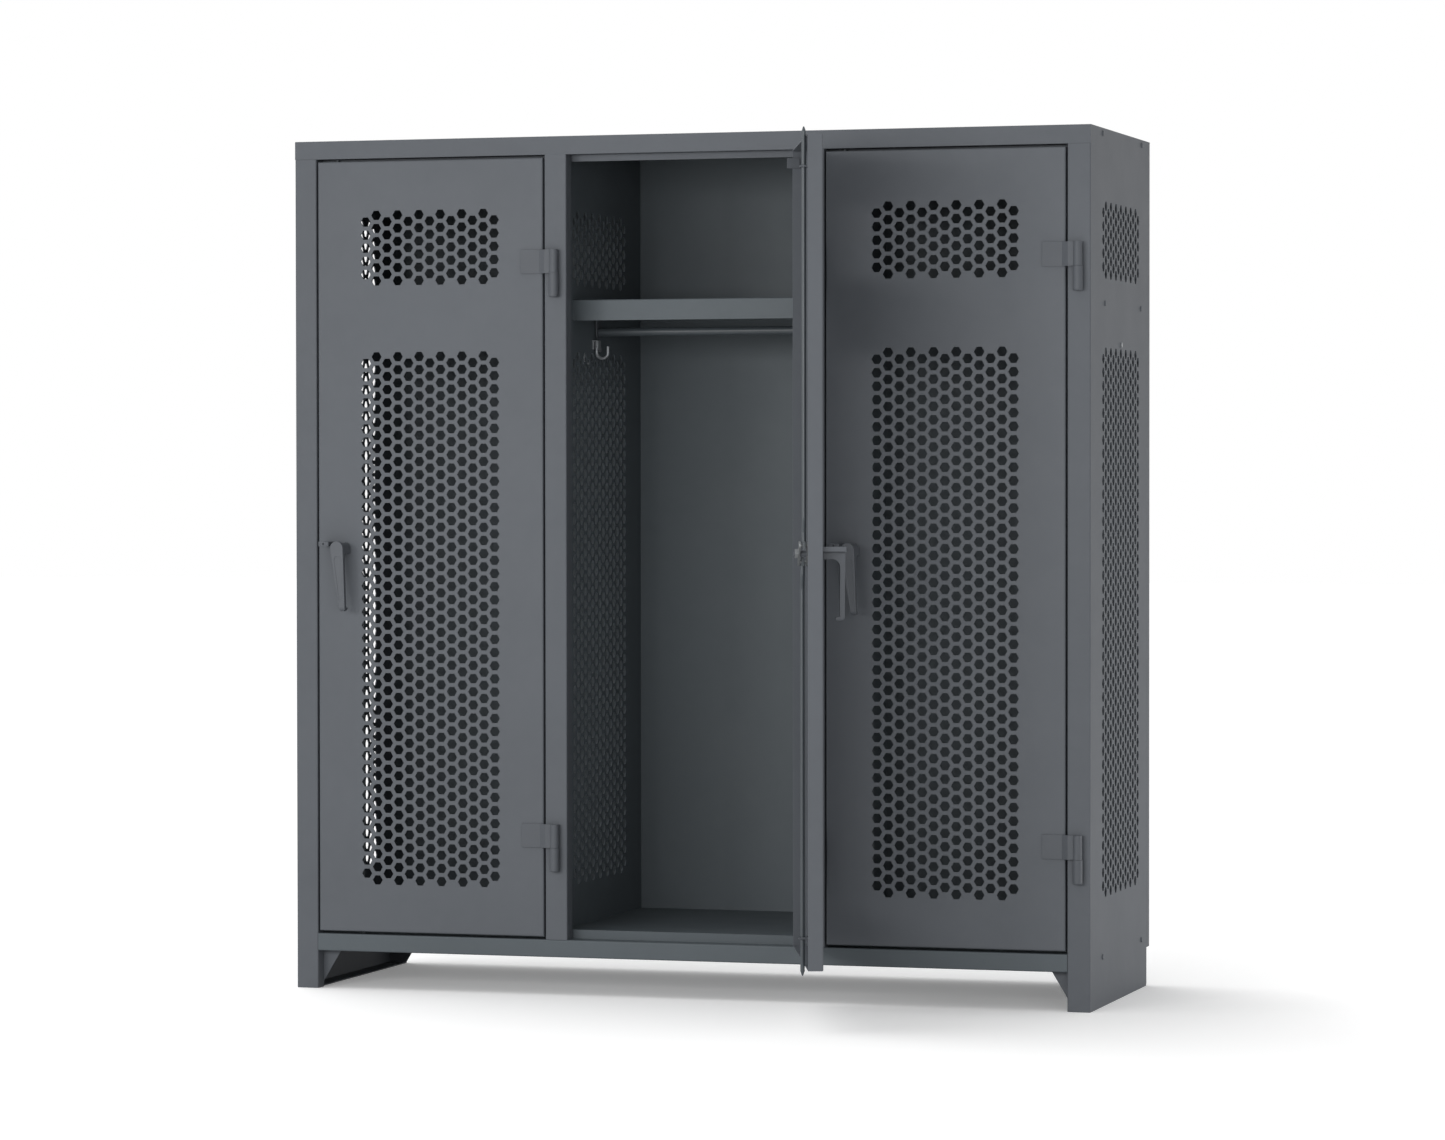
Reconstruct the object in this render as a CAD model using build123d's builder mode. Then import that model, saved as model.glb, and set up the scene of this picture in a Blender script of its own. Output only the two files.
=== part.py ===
from build123d import *
from math import cos, radians, sin, sqrt
import os

os.makedirs("parts", exist_ok=True)

# A three-bay ventilated locker in folded steel sheet, front towards -Y.
# The origin is on the floor, at the centre of the cabinet's plan.

inch = 25.4

# Cabinet
cabinet_width = 72 * inch
cabinet_depth = 24 * inch
cabinet_height = 75 * inch
sheet = 2.66
bend_radius = 3.0
bay_count = 3
post_width = 50.8
post_return = 35.0
top_rail_height = 40.6
bottom_rail_height = 39.0
bottom_rail_return = 15.0
foot_height = 85.0
ledge_depth = 44.0
top_lip_drop = 13.7
floor_step = 19.5
back_flange = 30.5
back_bend_radius = 2.5
back_seam = 0.6
back_foot_gap = 87.0
notch_gap = 1.0
rear_corner_cut = 5.0
mount_flange_inset = 60.0
roof_flange = 20.0
floor_flange = 44.0

# Perforation, round holes with the open area of small hexagons
hole_diameter = 21.6
hole_spacing = 29.33
door_columns = 13
wall_columns = 15
upper_rows = 6
lower_rows = 41
upper_group_height = 1663.6
lower_group_height = 833.8

# Feet
foot_flange_width = 44.0
anchor_hole_diameter = 11.0
anchor_inset = 75.0
anchor_edge = 24.0
gusset_foot = 44.0
gusset_reach = 94.0

# Shelves, coat rods and hooks
shelf_setback = 114.0
shelf_height = 1547.0
shelf_lip = 46.5
shelf_flange = 34.0
shelf_flange_inset = 6.0
coat_rod_diameter = 19.0
coat_rod_height = 1479.5
coat_rod_depth = 285.0
coat_rod_end_gap = 0.5
hanger_width = 32.0
hanger_sheet = 3.0
left_hook_depth = 264.0
left_hook_height = 1450.0
right_hook_depth = 304.0
right_hook_height = 1440.0
hook_wire = 7.0
hook_bend = 13.4
hook_leg_from_wall = 6.8
hook_below_bracket = 6.5
hook_tip_above = 6.5
hook_bracket_width = 20.0
hook_bracket_height = 21.0
hook_bracket_reach = 13.5
hook_bracket_sheet = 3.0
hook_stud = 6.0
hook_stud_head = 11.0
hook_stud_head_height = 3.0

# Panel bolts
bolt_diameter = 8.0
bolt_gap = 0.5
bolt_head_diameter = 13.0
bolt_head_height = 3.2
head_taper = 25.0
nut_across = 13.0
nut_height = 6.5
bolt_tail = 1.5
end_bolt_front = 119.0
end_bolt_rear = 520.0
roof_bolt_drop = 12.0
floor_bolt_height = 109.0
shelf_bolt_height = 1526.0
shelf_bolt_front = 141.0
shelf_bolt_rear = 510.0

# Doors
door_side_gap = 4.0
door_end_gap = 6.3
door_thickness = 31.75
middle_door_swing = 109.5

# Lift-off hinges
hinge_stand_off = 11.0
hinge_pin_diameter = 11.0
hinge_pin_fit = 0.05
leaf_barrel_diameter = 19.7
frame_barrel_diameter = 21.5
frame_barrel_rounding = 3.0
barrel_length = 52.5
barrel_gap = 0.3
leaf_thickness = 4.0
leaf_reach = 80.0
leaf_step_start = 38.0
leaf_step_end = 23.0
leaf_step_shift = 1.5
frame_pad_width = 13.0
upper_hinge_split = 1601.5
lower_hinge_split = 328.5
pin_recess = 4.0

# Handle, bushing and padlock hasp
pivot_from_edge = 61.0
pivot_height = 992.0
spindle_diameter = 12.0
spindle_fit = 0.05
spindle_end = 57.0
bush_diameter = 20.0
bush_hole_gap = 0.2
bush_flange_diameter = 27.0
bush_flange = 3.0
bush_nut_across = 30.0
bush_nut = 6.0
bush_tail = 2.0
hub_gap = 0.5
hub_diameter = 28.0
hub_length = 8.0
lever_face = 49.0
lever_bar = 10.5
lever_head_radius = 15.6
lever_foot_radius = 7.0
lever_length = 134.0
lever_lean = 13.0
lever_throat = 18.0
lever_neck = 23.0
lever_foot_bend = 9.0
foot_curl = 19.0
foot_thickness = 9.0
foot_rounding = 2.5
lever_rounding = 1.6
channel_start = 26.0
channel_end = 112.0
channel_start_radius = 8.0
channel_end_radius = 4.6
channel_depth = 0.8
hasp_from_edge = 18.0
hasp_width = 25.0
hasp_reach = 50.0
hasp_thickness = 10.0
hasp_above_pivot = 4.5
hasp_rounding = 3.0
padlock_hole_diameter = 10.0
padlock_hole_from_end = 14.0
hasp_dimple_diameter = 4.0
hasp_dimple_depth = 5.0

# Latch cam and lock rods
rod_diameter = 9.5
rod_depth = 37.8
rod_point = 10.0
rod_point_diameter = 2.5
upper_rod_reach = 16.0
lower_rod_reach = 18.5
upper_rod_from_edge = 33.0
lower_rod_from_edge = 92.0
rod_bend = 14.0
rod_jog_start = 22.0
rod_jog_length = 28.0
rod_hole_gap = 1.0
cam_throw = 24.0
cam_pin_diameter = 8.0
cam_pin_gap = 1.0
cam_eye_width = 18.0
cam_inner_depth = 26.0
cam_inner_plate = 5.0
cam_outer_depth = 44.0
cam_outer_plate = 4.0
cam_nut_across = 19.0
cam_nut = 7.0
eye_thickness = 6.0
eye_wall = 4.0
guide_sheet = 4.0
guide_width = 26.0
guide_end = 46.0
guide_fit = 0.25
upper_guide_height = 1790.0
lower_guide_height = 188.6
tab_height = 22.0
tab_top = 1841.0
tab_front = 16.0
tab_reach = 12.0
tab_sheet = 3.0

# Worked-out sizes
overrun = 1.0
left_x = -cabinet_width / 2
right_x = cabinet_width / 2
front_y = -cabinet_depth / 2
opening_width = (cabinet_width - (bay_count + 1) * post_width) / bay_count
opening_bottom = foot_height + bottom_rail_height
opening_top = cabinet_height - top_rail_height
floor_top = opening_bottom + floor_step
roof_under = cabinet_height - sheet
lip_back = ledge_depth + sheet
side_depth = cabinet_depth - back_flange - back_seam
web_depth = cabinet_depth - sheet
column_spacing = hole_spacing * sqrt(3) / 2
door_width = opening_width - 2 * door_side_gap
door_height = opening_top - opening_bottom - 2 * door_end_gap
door_bottom = opening_bottom + door_end_gap
door_top = opening_top - door_end_gap
edge_from_axis = post_width / 2 + door_side_gap
free_edge = edge_from_axis + door_width
door_centre = edge_from_axis + door_width / 2
pivot = free_edge - pivot_from_edge
hinge_y = front_y - hinge_stand_off
pin_out = cam_throw * cos(radians(45))
hub_start = bush_flange + hub_gap
lever_end = pivot_height - lever_length - lever_foot_radius
hasp_bottom = pivot_height + hasp_above_pivot
hasp_middle = free_edge - hasp_from_edge - hasp_width / 2

bays = ["left", "middle", "right"]
swings = {"left": 0.0, "middle": middle_door_swing, "right": 0.0}


def bay_left(number):
    """X of the left edge of a bay's door opening."""
    return left_x + post_width + number * (opening_width + post_width)


def hinge_x(number):
    """X of the hinge axis of a bay's door, on the middle of the post at its right."""
    return bay_left(number) + opening_width + post_width / 2


def bay_walls(number):
    """X of the inner faces of the walls at a bay's left and right."""
    start = left_x + sheet if number == 0 else hinge_x(number - 1) + sheet / 2
    end = right_x - sheet if number == bay_count - 1 else hinge_x(number) - sheet / 2
    return start, end


def wall_plane(x):
    """Upright plane across the cabinet: local X is depth behind the front, local Y is height, normal +X."""
    return Plane(origin=(x, front_y, 0), x_dir=(0, 1, 0), z_dir=(1, 0, 0))


def plan_plane(height):
    """Level plane: local X is the cabinet's X, local Y is depth behind the front, normal up."""
    return Plane(origin=(0, front_y, height), x_dir=(1, 0, 0), z_dir=(0, 0, 1))


def front_plane(depth):
    """Plane parallel to the front: local X is the cabinet's X, local Y is height, normal to the front."""
    return Plane(origin=(0, front_y + depth, 0), x_dir=(1, 0, 0), z_dir=(0, -1, 0))


def hinge_frame(number):
    """A door's frame on its hinge axis at floor level: local X runs to the free edge, local Y outwards."""
    swing = radians(swings[bays[number]])
    origin = (hinge_x(number), hinge_y, 0)
    return Plane(origin=origin, x_dir=(-cos(swing), -sin(swing), 0), z_dir=(0, 0, 1))


def face_plane(frame, depth=0):
    """Plane parallel to a door's face at a depth behind it: local X from the hinge, local Y up, normal inwards."""
    origin = frame.from_local_coords((0, -hinge_stand_off - depth, 0))
    return Plane(origin=origin, x_dir=frame.x_dir, z_dir=-frame.y_dir)


def edge_plane(frame, from_hinge):
    """Plane square to a door's width: local X is how proud of the face, local Y up, normal to the free edge."""
    origin = frame.from_local_coords((from_hinge, -hinge_stand_off, 0))
    return Plane(origin=origin, x_dir=frame.y_dir, z_dir=frame.x_dir)


def corner(sketch, x, y):
    """The corner of a sketch nearest to a point of it."""
    return sketch.vertices().sort_by_distance((x, y, 0))[0]


def hole_group(columns, rows, middle, height):
    """Centres of one staggered group: the outer columns hold one hole fewer than their neighbours."""
    centres = []
    for column in range(columns):
        count = rows - 1 + column % 2
        x = middle + (column - (columns - 1) / 2) * column_spacing
        for row in range(count):
            centres.append((x, height + (row - (count - 1) / 2) * hole_spacing))
    return centres


def perforate(columns, middle):
    """Cut both groups of ventilation holes from the sketch being drawn."""
    upper = hole_group(columns, upper_rows, middle, upper_group_height)
    lower = hole_group(columns, lower_rows, middle, lower_group_height)
    with Locations(*upper, *lower):
        Circle(hole_diameter / 2, mode=Mode.SUBTRACT)


def cut_holes(places, diameter, gap):
    """Cut clearance holes from the sketch being drawn."""
    with Locations(*places):
        Circle(diameter / 2 + gap, mode=Mode.SUBTRACT)


def tapered_bar(start, start_radius, end, end_radius):
    """Draw the outline of a bar with round ends of two sizes."""
    run = Vector(*end) - Vector(*start)
    along = run.normalized()
    across = Vector(-along.Y, along.X)
    lean = (start_radius - end_radius) / run.length
    spread = sqrt(1 - lean * lean)
    points = []
    for centre, radius, side in (
        (start, start_radius, 1),
        (end, end_radius, 1),
        (end, end_radius, -1),
        (start, start_radius, -1),
    ):
        point = Vector(*centre) + (along * lean + across * (side * spread)) * radius
        points.append((point.X, point.Y))
    Polygon(*points, align=None)
    with Locations(start):
        Circle(start_radius)
    with Locations(end):
        Circle(end_radius)


shelf_bolts = [(shelf_bolt_front, shelf_bolt_height), (shelf_bolt_rear, shelf_bolt_height)]
roof_bolts = [(end_bolt_front, cabinet_height - roof_bolt_drop), (end_bolt_rear, cabinet_height - roof_bolt_drop)]
floor_bolts = [(end_bolt_front, floor_bolt_height), (end_bolt_rear, floor_bolt_height)]
left_hook_place = (left_hook_depth, left_hook_height)
right_hook_place = (right_hook_depth, right_hook_height)

# Outer side sheets, perforated, standing on the floor behind the front posts
side_outline = [
    (post_return, 0),
    (side_depth - rear_corner_cut, 0),
    (side_depth, rear_corner_cut),
    (side_depth, roof_under),
    (sheet, roof_under),
    (sheet, opening_top),
    (post_return, opening_top),
]
side_sheets = [("left_side_panel", left_x, left_hook_place), ("right_side_panel", right_x - sheet, right_hook_place)]
for name, x, hook_place in side_sheets:
    with BuildPart() as side_panel:
        with BuildSketch(wall_plane(x)):
            with BuildLine():
                Polyline(*side_outline, close=True)
            make_face()
            perforate(wall_columns, cabinet_depth / 2)
            cut_holes(shelf_bolts + roof_bolts + floor_bolts, bolt_diameter, bolt_gap)
            cut_holes([hook_place], hook_stud, bolt_gap)
        extrude(amount=sheet, clean=False)
    side_panel.part.label = name
    export_step(side_panel.part, f"parts/{name}.step", write_pcurves=False)

# Divider sheets between the bays, perforated, centred on their posts and cut away round the roof's ledge
divider_outline = [
    (sheet, floor_top),
    (web_depth, floor_top),
    (web_depth, roof_under),
    (lip_back + notch_gap, roof_under),
    (lip_back + notch_gap, opening_top - top_lip_drop - notch_gap),
    (sheet, opening_top - top_lip_drop - notch_gap),
]
for number, name in enumerate(("left_divider_panel", "right_divider_panel")):
    with BuildPart() as divider_panel:
        with BuildSketch(wall_plane(hinge_x(number) - sheet / 2)):
            with BuildLine():
                Polyline(*divider_outline, close=True)
            make_face()
            perforate(wall_columns, cabinet_depth / 2)
            cut_holes(shelf_bolts, bolt_diameter, bolt_gap)
            cut_holes([left_hook_place, right_hook_place], hook_stud, bolt_gap)
        extrude(amount=sheet, clean=False)
    divider_panel.part.label = name
    export_step(divider_panel.part, f"parts/{name}.step", write_pcurves=False)

# Front posts: channels open to the rear, the outer two run down to the floor
posts = [
    ("left_front_post", left_x, 0),
    ("left_divider_post", bay_left(0) + opening_width, opening_bottom),
    ("right_divider_post", bay_left(1) + opening_width, opening_bottom),
    ("right_front_post", right_x - post_width, 0),
]
for name, x, bottom in posts:
    with BuildPart() as post:
        with BuildSketch(plan_plane(bottom)) as channel:
            with Locations((x + post_width / 2, 0)):
                Rectangle(post_width, post_return, align=(Align.CENTER, Align.MIN))
            fillet([corner(channel, x, 0), corner(channel, x + post_width, 0)], bend_radius)
            with Locations((x + post_width / 2, sheet)):
                Rectangle(post_width - 2 * sheet, post_return, align=(Align.CENTER, Align.MIN), mode=Mode.SUBTRACT)
        extrude(amount=opening_top - bottom)
    post.part.label = name
    export_step(post.part, f"parts/{name}.step")

# Holes in both ledges behind the lock rods of each shut door
upper_rod_holes = []
lower_rod_holes = []
for number in range(bay_count):
    upper_rod_holes.append((hinge_x(number) - free_edge + upper_rod_from_edge, rod_depth))
    lower_rod_holes.append((hinge_x(number) - free_edge + lower_rod_from_edge, rod_depth))

# Roof sheet, folded at the front into the top rail, a ledge and a stop lip, with a bolting flange at each side
with BuildPart() as roof_panel:
    with BuildSketch(wall_plane(left_x)) as cover:
        with Locations((0, roof_under)):
            Rectangle(cabinet_depth, sheet, align=(Align.MIN, Align.MIN))
        with Locations((0, opening_top)):
            Rectangle(sheet, top_rail_height, align=(Align.MIN, Align.MIN))
        fillet(corner(cover, 0, cabinet_height), bend_radius)
    extrude(amount=cabinet_width)
    with BuildSketch(wall_plane(left_x + sheet)):
        with Locations((sheet, opening_top)):
            Rectangle(ledge_depth, sheet, align=(Align.MIN, Align.MIN))
        with Locations((ledge_depth, opening_top - top_lip_drop)):
            Rectangle(sheet, top_lip_drop + sheet, align=(Align.MIN, Align.MIN))
    extrude(amount=cabinet_width - 2 * sheet)
    for x in (left_x + sheet, right_x - 2 * sheet):
        with BuildSketch(wall_plane(x)):
            with Locations((mount_flange_inset, roof_under - roof_flange)):
                Rectangle(side_depth - 2 * mount_flange_inset, roof_flange, align=(Align.MIN, Align.MIN))
            cut_holes(roof_bolts, bolt_diameter, bolt_gap)
        extrude(amount=sheet)
    with BuildSketch(plan_plane(opening_top - overrun)):
        with Locations(*upper_rod_holes):
            Circle(rod_diameter / 2 + rod_hole_gap)
    extrude(amount=sheet + 2 * overrun, mode=Mode.SUBTRACT)
roof_panel.part.label = "roof_panel"
export_step(roof_panel.part, "parts/roof_panel.step")

# Floor sheet, folded at the front into a stop lip, a ledge and the bottom rail
inner_left = left_x + post_width
inner_width = cabinet_width - 2 * post_width
with BuildPart() as floor_panel:
    with BuildSketch(wall_plane(inner_left)) as rail:
        with Locations((0, foot_height)):
            Rectangle(bottom_rail_return, sheet, align=(Align.MIN, Align.MIN))
            Rectangle(sheet, bottom_rail_height, align=(Align.MIN, Align.MIN))
        with Locations((0, opening_bottom - sheet)):
            Rectangle(lip_back, sheet, align=(Align.MIN, Align.MIN))
        fillet([corner(rail, 0, foot_height), corner(rail, 0, opening_bottom)], bend_radius)
    extrude(amount=inner_width)
    with BuildSketch(wall_plane(left_x + sheet)):
        with Locations((ledge_depth, opening_bottom - sheet)):
            Rectangle(sheet, floor_step + sheet, align=(Align.MIN, Align.MIN))
        with Locations((ledge_depth, floor_top - sheet)):
            Rectangle(web_depth - ledge_depth, sheet, align=(Align.MIN, Align.MIN))
    extrude(amount=cabinet_width - 2 * sheet)
    for x in (left_x + sheet, right_x - 2 * sheet):
        with BuildSketch(wall_plane(x)):
            with Locations((mount_flange_inset, floor_top - floor_flange)):
                Rectangle(side_depth - 2 * mount_flange_inset, floor_flange, align=(Align.MIN, Align.MIN))
            cut_holes(floor_bolts, bolt_diameter, bolt_gap)
        extrude(amount=sheet)
    with BuildSketch(plan_plane(opening_bottom - sheet - overrun)):
        with Locations(*lower_rod_holes):
            Circle(rod_diameter / 2 + rod_hole_gap)
    extrude(amount=sheet + 2 * overrun, mode=Mode.SUBTRACT)
floor_panel.part.label = "floor_panel"
export_step(floor_panel.part, "parts/floor_panel.step")

# Back panel, a flat sheet between its own flanges
with BuildPart() as back_panel:
    with BuildSketch(plan_plane(back_foot_gap)):
        with Locations((0, web_depth)):
            Rectangle(cabinet_width - 2 * sheet, sheet, align=(Align.CENTER, Align.MIN))
    extrude(amount=roof_under - back_foot_gap)
back_panel.part.label = "back_panel"
export_step(back_panel.part, "parts/back_panel.step")

# Back flanges, turned forward at the panel's two edges to meet the side sheets
with BuildPart() as back_flanges:
    for side in (1, -1):
        with BuildSketch(plan_plane(back_foot_gap)) as flange:
            with Locations((side * (left_x + sheet / 2), cabinet_depth)):
                Rectangle(sheet, back_flange, align=(Align.CENTER, Align.MAX))
            fillet(corner(flange, side * left_x, cabinet_depth), back_bend_radius)
        extrude(amount=roof_under - back_foot_gap)
back_flanges.part.label = "back_flanges"
export_step(back_flanges.part, "parts/back_flanges.step")

# Foot gussets, slanted plates behind the posts and at the rear corners
gusset_rows = [
    ("front_foot_gussets", post_return + sheet, opening_bottom - sheet),
    ("rear_foot_gussets", side_depth, floor_top - sheet),
]
for name, depth, top in gusset_rows:
    with BuildPart() as gussets:
        for side in (1, -1):
            with BuildSketch(front_plane(depth)):
                with BuildLine():
                    Polyline(
                        (side * (left_x + sheet), sheet),
                        (side * (left_x + gusset_foot), sheet),
                        (side * (left_x + gusset_reach), foot_height),
                        (side * (left_x + gusset_reach), top),
                        (side * (left_x + sheet), top),
                        close=True,
                    )
                make_face()
            extrude(amount=sheet)
    gussets.part.label = name
    export_step(gussets.part, f"parts/{name}.step")

# Foot flanges, turned inwards on the floor, with the holes for floor anchors
for name, side in (("left_foot_flange", 1), ("right_foot_flange", -1)):
    with BuildPart() as foot_flange:
        with BuildSketch(plan_plane(0)):
            with BuildLine():
                Polyline(
                    (side * (left_x + sheet), post_return),
                    (side * (left_x + foot_flange_width), post_return),
                    (side * (left_x + foot_flange_width), side_depth),
                    (side * (left_x + sheet), side_depth),
                    close=True,
                )
            make_face()
            anchors = [
                (side * (left_x + anchor_edge), anchor_inset),
                (side * (left_x + anchor_edge), cabinet_depth - anchor_inset),
            ]
            cut_holes(anchors, anchor_hole_diameter, 0)
        extrude(amount=sheet)
    foot_flange.part.label = name
    export_step(foot_flange.part, f"parts/{name}.step")

# Shelves: inverted pans with a deep front lip and bolting flanges
for number, name in enumerate(bays):
    start, end = bay_walls(number)
    with BuildPart() as shelf:
        with BuildSketch(wall_plane(start)) as section:
            with Locations((shelf_setback, shelf_height)):
                Rectangle(web_depth - shelf_setback, sheet, align=(Align.MIN, Align.MAX))
                Rectangle(sheet, shelf_lip, align=(Align.MIN, Align.MAX))
            with Locations((web_depth, shelf_height)):
                Rectangle(sheet, shelf_flange, align=(Align.MAX, Align.MAX))
            fillet(corner(section, shelf_setback, shelf_height), bend_radius)
        extrude(amount=end - start)
        for x in (start, end - sheet):
            with BuildSketch(wall_plane(x)):
                with Locations((shelf_setback + shelf_flange_inset, shelf_height)):
                    flange_length = web_depth - shelf_setback - 2 * shelf_flange_inset
                    Rectangle(flange_length, shelf_flange, align=(Align.MIN, Align.MAX))
                cut_holes(shelf_bolts, bolt_diameter, bolt_gap)
            extrude(amount=sheet)
    shelf.part.label = f"{name}_shelf"
    export_step(shelf.part, f"parts/{name}_shelf.step")

# Coat rods, from wall to wall through their hangers
for number, name in enumerate(bays):
    start, end = bay_walls(number)
    with BuildPart() as coat_rod:
        with BuildSketch(wall_plane(start + coat_rod_end_gap)):
            with Locations((coat_rod_depth, coat_rod_height)):
                Circle(coat_rod_diameter / 2)
        extrude(amount=end - start - 2 * coat_rod_end_gap)
    coat_rod.part.label = f"{name}_coat_rod"
    export_step(coat_rod.part, f"parts/{name}_coat_rod.step")

# Hangers: straps down from the shelves' side flanges, round the ends of the coat rods
with BuildPart() as coat_rod_hangers:
    for number in range(bay_count):
        start, end = bay_walls(number)
        for x in (start + sheet, end - sheet - hanger_sheet):
            with BuildSketch(wall_plane(x)):
                with Locations((coat_rod_depth, coat_rod_height)):
                    strap = shelf_height - sheet - coat_rod_height
                    Rectangle(hanger_width, strap, align=(Align.CENTER, Align.MIN))
                    Circle(hanger_width / 2)
                    Circle(coat_rod_diameter / 2, mode=Mode.SUBTRACT)
            extrude(amount=hanger_sheet)
coat_rod_hangers.part.label = "coat_rod_hangers"
export_step(coat_rod_hangers.part, "parts/coat_rod_hangers.step")

# Coat hooks: a wire hook hanging from a folded bracket on each wall of each bay
with BuildPart() as coat_hooks:
    for number in range(bay_count):
        start, end = bay_walls(number)
        rows = ((start, 1, left_hook_depth, left_hook_height), (end, -1, right_hook_depth, right_hook_height))
        for wall, side, depth, height in rows:
            bracket_bottom = height - hook_bracket_height / 2
            bracket_top = height + hook_bracket_height / 2
            with BuildSketch(front_plane(depth - hook_bracket_width / 2)) as bracket:
                with Locations((wall + side * hook_bracket_reach / 2, height)):
                    Rectangle(hook_bracket_reach, hook_bracket_height)
                fillet(corner(bracket, wall + side * hook_bracket_reach, bracket_top), bend_radius)
                with Locations((wall + side * hook_bracket_reach / 2, bracket_top - hook_bracket_sheet)):
                    slot = hook_bracket_reach - 2 * hook_bracket_sheet
                    Rectangle(slot, hook_bracket_height, align=(Align.CENTER, Align.MAX), mode=Mode.SUBTRACT)
            extrude(amount=-hook_bracket_width)
            leg = wall + side * hook_leg_from_wall
            tip = leg + side * 2 * hook_bend
            bend_height = bracket_bottom - hook_below_bracket
            with BuildLine(front_plane(depth)) as hook_line:
                Line((leg, bracket_top - hook_bracket_sheet), (leg, bend_height))
                ThreePointArc((leg, bend_height), ((leg + tip) / 2, bend_height - hook_bend), (tip, bend_height))
                Line((tip, bend_height), (tip, bracket_bottom + hook_tip_above))
            hook_top = Plane(origin=(leg, front_y + depth, bracket_top - hook_bracket_sheet), z_dir=(0, 0, -1))
            with BuildSketch(hook_top):
                Circle(hook_wire / 2)
            sweep(path=hook_line.wires()[0])
            head = wall - side * sheet
            with BuildSketch(wall_plane(head)):
                with Locations((depth, height)):
                    Circle(hook_stud / 2)
            extrude(amount=side * (sheet + hook_bracket_sheet))
            with BuildSketch(wall_plane(head)):
                with Locations((depth, height)):
                    Circle(hook_stud_head / 2)
            extrude(amount=-side * hook_stud_head_height)
coat_hooks.part.label = "coat_hooks"
export_step(coat_hooks.part, "parts/coat_hooks.step")

# Panel bolts with their nuts: at roof, shelf and floor on the outer walls, at the shelves on the dividers
with BuildPart() as panel_bolts:
    bolt_rows = [
        (left_x, 1, 2 * sheet, shelf_bolts + roof_bolts + floor_bolts),
        (right_x, -1, 2 * sheet, shelf_bolts + roof_bolts + floor_bolts),
    ]
    for number in range(bay_count - 1):
        bolt_rows.append((hinge_x(number) - sheet / 2 - sheet, 1, 3 * sheet, shelf_bolts))
    for x, side, grip, places in bolt_rows:
        head_plane = Plane(origin=(x, front_y, 0), x_dir=(0, 1, 0), z_dir=(-side, 0, 0))
        local_places = [(depth, -side * height) for depth, height in places]
        with BuildSketch(head_plane):
            with Locations(*local_places):
                Circle(bolt_head_diameter / 2)
        extrude(amount=bolt_head_height, taper=head_taper)
        with BuildSketch(head_plane):
            with Locations(*local_places):
                Circle(bolt_diameter / 2)
        extrude(amount=-(grip + nut_height + bolt_tail))
        with BuildSketch(head_plane.offset(-grip)):
            with Locations(*local_places):
                RegularPolygon(nut_across / 2, 6, major_radius=False)
        extrude(amount=-nut_height)
panel_bolts.part.label = "panel_bolts"
export_step(panel_bolts.part, "parts/panel_bolts.step")

# Lower halves of the lift-off hinges, each on a pad welded to its post
hinge_splits = [upper_hinge_split, lower_hinge_split]
with BuildPart() as frame_hinge_knuckles:
    for number in range(bay_count):
        axis = Axis((hinge_x(number), hinge_y, 0), (0, 0, 1))
        for split in hinge_splits:
            bottom = split - barrel_length
            with BuildSketch(front_plane(-hinge_stand_off)) as barrel:
                with Locations((hinge_x(number), bottom)):
                    Rectangle(frame_barrel_diameter / 2, barrel_length, align=(Align.MIN, Align.MIN))
                fillet(corner(barrel, hinge_x(number) + frame_barrel_diameter / 2, bottom), frame_barrel_rounding)
            revolve(axis=axis)
            with BuildSketch(Plane(origin=(hinge_x(number), hinge_y, bottom + frame_barrel_rounding))):
                Rectangle(frame_pad_width, hinge_stand_off, align=(Align.CENTER, Align.MIN))
            extrude(amount=barrel_length - frame_barrel_rounding)
            with BuildSketch(Plane(origin=(hinge_x(number), hinge_y, bottom - overrun))):
                Circle(hinge_pin_diameter / 2)
            extrude(amount=barrel_length + 2 * overrun, mode=Mode.SUBTRACT)
frame_hinge_knuckles.part.label = "frame_hinge_knuckles"
export_step(frame_hinge_knuckles.part, "parts/frame_hinge_knuckles.step")

# Hinge pins, fixed in the lower halves
with BuildPart() as hinge_pins:
    for number in range(bay_count):
        for split in hinge_splits:
            with BuildSketch(Plane(origin=(hinge_x(number), hinge_y, split - barrel_length + pin_recess))):
                Circle(hinge_pin_diameter / 2)
            extrude(amount=2 * (barrel_length - pin_recess) + barrel_gap)
hinge_pins.part.label = "hinge_pins"
export_step(hinge_pins.part, "parts/hinge_pins.step")

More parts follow.
